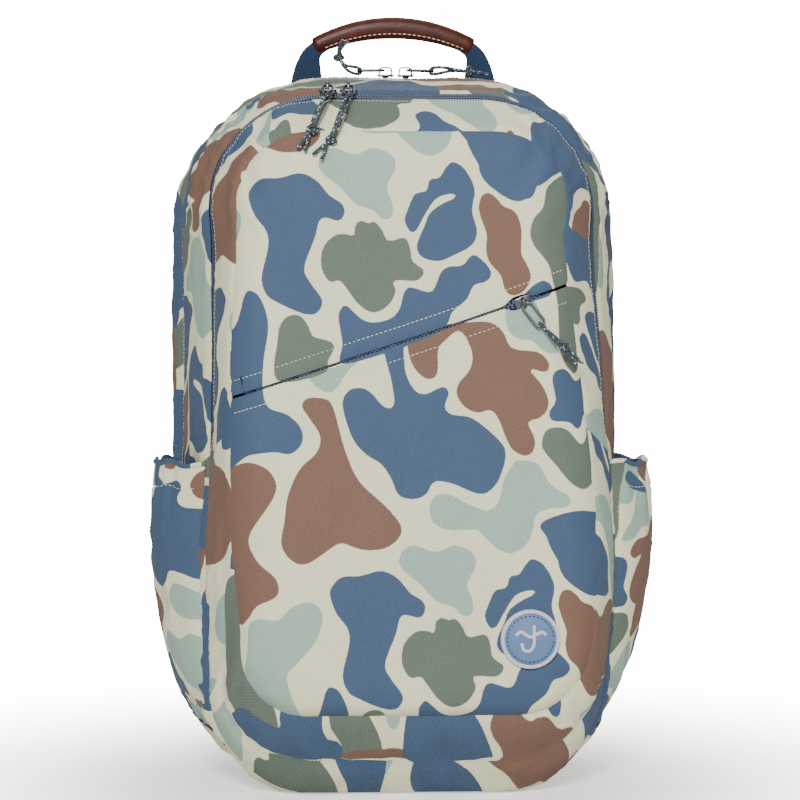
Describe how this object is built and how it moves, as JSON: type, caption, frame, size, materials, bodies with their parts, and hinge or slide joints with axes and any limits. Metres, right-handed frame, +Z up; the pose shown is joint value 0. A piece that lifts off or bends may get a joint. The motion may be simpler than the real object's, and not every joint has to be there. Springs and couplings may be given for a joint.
{
  "type": "tackle backpack",
  "caption": "Printed-camouflage tackle backpack with main and front zipped sections, diagonal pocket, side pockets, carry handle and padded straps.",
  "frame": {"origin": "middle of the flat base the pack stands on", "axes": "+Z up, the front face looks along -Y, the straps are on +Y, +X is the right of the front view"},
  "size_m": [0.3146, 0.2116, 0.497],
  "materials": {
    "camo_cloth": "printed woven polyester, matt, cream with blue, brown, grey-green and aqua blotches",
    "inner_cloth": "dark grey woven lining, matt",
    "back_mesh": "dark spacer mesh over foam",
    "webbing": "woven navy webbing",
    "zip_coil": "moulded zip coil on woven tape",
    "hem_elastic": "gathered brown elastic hem",
    "slider_metal": "dark gunmetal plating",
    "pull_cord": "dark braided cord with light flecks",
    "grip_leather": "dark red-brown leather, cream stitching",
    "badge_rubber": "soft moulded rubber, blue with a pale ring",
    "stiffener": "thin sheet",
    "hardware": "moulded acetal"
  },
  "bodies": {
    "pack": {"rear_gusset": "camo_cloth", "side_gusset_lower": "camo_cloth", "front_gusset_lower": "camo_cloth", "base_panel": "camo_cloth", "back_panel": "back_mesh", "face_panel_lower": "camo_cloth", "lower_fold_band": "camo_cloth", "main_zip_rear_half": "zip_coil", "badge": "badge_rubber", "side_pocket_left": "camo_cloth", "side_pocket_right": "camo_cloth", "pocket_hem_left": "hem_elastic", "pocket_hem_right": "hem_elastic", "base_board": "stiffener", "back_frame_sheet": "stiffener", "laptop_sleeve": "inner_cloth", "divider_lower": "inner_cloth", "divider_fold": "inner_cloth", "organiser_pocket": "inner_cloth", "back_pad_left": "back_mesh", "back_pad_right": "back_mesh", "lumbar_pad": "back_mesh", "strap_yoke": "back_mesh", "strap_wing_left": "webbing", "strap_wing_right": "webbing"},
    "front_section": {"main_zip_gusset": "camo_cloth", "main_zip_front_half": "zip_coil", "front_zip_rear_half": "zip_coil", "divider_upper": "inner_cloth", "upper_fold_band": "camo_cloth"},
    "front_flap": {"front_zip_gusset": "camo_cloth", "front_zip_front_half": "zip_coil", "face_panel_top": "camo_cloth", "face_panel_middle": "camo_cloth", "pocket_zip_tape": "zip_coil", "pocket_bag": "inner_cloth"},
    "handle": {"handle_webbing": "webbing", "handle_grip": "grip_leather"},
    "pocket_slider": {"pocket_slider": "slider_metal"},
    "pocket_pull": {"pocket_ring": "slider_metal", "pocket_cord": "pull_cord"},
    "main_slider_left": {"main_slider_left": "slider_metal"},
    "main_pull_left": {"main_ring_left": "slider_metal", "main_cord_left": "pull_cord"},
    "front_slider_left": {"front_slider_left": "slider_metal"},
    "front_pull_left": {"front_ring_left": "slider_metal", "front_cord_left": "pull_cord"},
    "shoulder_left": {"shoulder_strap_left": "back_mesh", "ladder_lock_left": "hardware", "adjuster_webbing_left": "webbing"},
    "main_slider_right": {"main_slider_right": "slider_metal"},
    "main_pull_right": {"main_ring_right": "slider_metal", "main_cord_right": "pull_cord"},
    "front_slider_right": {"front_slider_right": "slider_metal"},
    "front_pull_right": {"front_ring_right": "slider_metal", "front_cord_right": "pull_cord"},
    "shoulder_right": {"shoulder_strap_right": "back_mesh", "ladder_lock_right": "hardware", "adjuster_webbing_right": "webbing"}
  },
  "joints": [
    {"name": "main_opening", "type": "hinge", "parent": "pack", "child": "front_section", "pos_m": [0, 0.036, 0.2], "axis": [1, 0, 0], "range_deg": [0, 20], "deforming": ["lower_fold_band", "divider_fold"]},
    {"name": "front_opening", "type": "hinge", "parent": "front_section", "child": "front_flap", "pos_m": [0, -0.042, 0.232], "axis": [1, 0, 0], "range_deg": [0, 40], "deforming": ["upper_fold_band"]},
    {"name": "handle_fold", "type": "hinge", "parent": "pack", "child": "handle", "pos_m": [0, 0.068, 0.4516], "axis": [1, 0, 0], "range_deg": [-60, 15]},
    {"name": "front_slider_left_run", "type": "hinge", "parent": "front_flap", "child": "front_slider_left", "pos_m": [-0.046, -0.042, 0.364], "axis": [0, -1, 0], "range_deg": [0, 20]},
    {"name": "front_slider_right_run", "type": "slide", "parent": "front_flap", "child": "front_slider_right", "axis": [1, 0, 0], "range_m": [0, 0.072]},
    {"name": "pocket_slider_run", "type": "slide", "parent": "front_flap", "child": "pocket_slider", "axis": [-0.9505, 0, -0.3107], "range_m": [0, 0.145]},
    {"name": "pocket_pull_lift", "type": "hinge", "parent": "pocket_slider", "child": "pocket_pull", "pos_m": [0.0738, -0.0858, 0.30893], "axis": [-0.788, 0, -0.6157], "range_deg": [0, 70]},
    {"name": "main_slider_left_run", "type": "slide", "parent": "pack", "child": "main_slider_left", "axis": [-1, 0, 0], "range_m": [0, 0.026]},
    {"name": "main_pull_left_lift", "type": "hinge", "parent": "main_slider_left", "child": "main_pull_left", "pos_m": [-0.0075, 0.036, 0.4615], "axis": [0, 1, 0], "range_deg": [0, 60]},
    {"name": "front_pull_left_lift", "type": "hinge", "parent": "front_slider_left", "child": "front_pull_left", "pos_m": [-0.046, -0.0429, 0.4451], "axis": [-1, 0, 0], "range_deg": [0, 60]},
    {"name": "shoulder_left_swing", "type": "hinge", "parent": "pack", "child": "shoulder_left", "pos_m": [0, 0.0775, 0.41], "axis": [1, 0, 0], "range_deg": [0, 20]},
    {"name": "main_slider_right_run", "type": "slide", "parent": "pack", "child": "main_slider_right", "axis": [1, 0, 0], "range_m": [0, 0.026]},
    {"name": "main_pull_right_lift", "type": "hinge", "parent": "main_slider_right", "child": "main_pull_right", "pos_m": [0.0075, 0.036, 0.4615], "axis": [0, -1, 0], "range_deg": [0, 60]},
    {"name": "front_pull_right_lift", "type": "hinge", "parent": "front_slider_right", "child": "front_pull_right", "pos_m": [-0.033, -0.0429, 0.4451], "axis": [-1, 0, 0], "range_deg": [0, 60]},
    {"name": "shoulder_right_swing", "type": "hinge", "parent": "pack", "child": "shoulder_right", "pos_m": [0, 0.0775, 0.41], "axis": [1, 0, 0], "range_deg": [0, 20]}
  ]
}
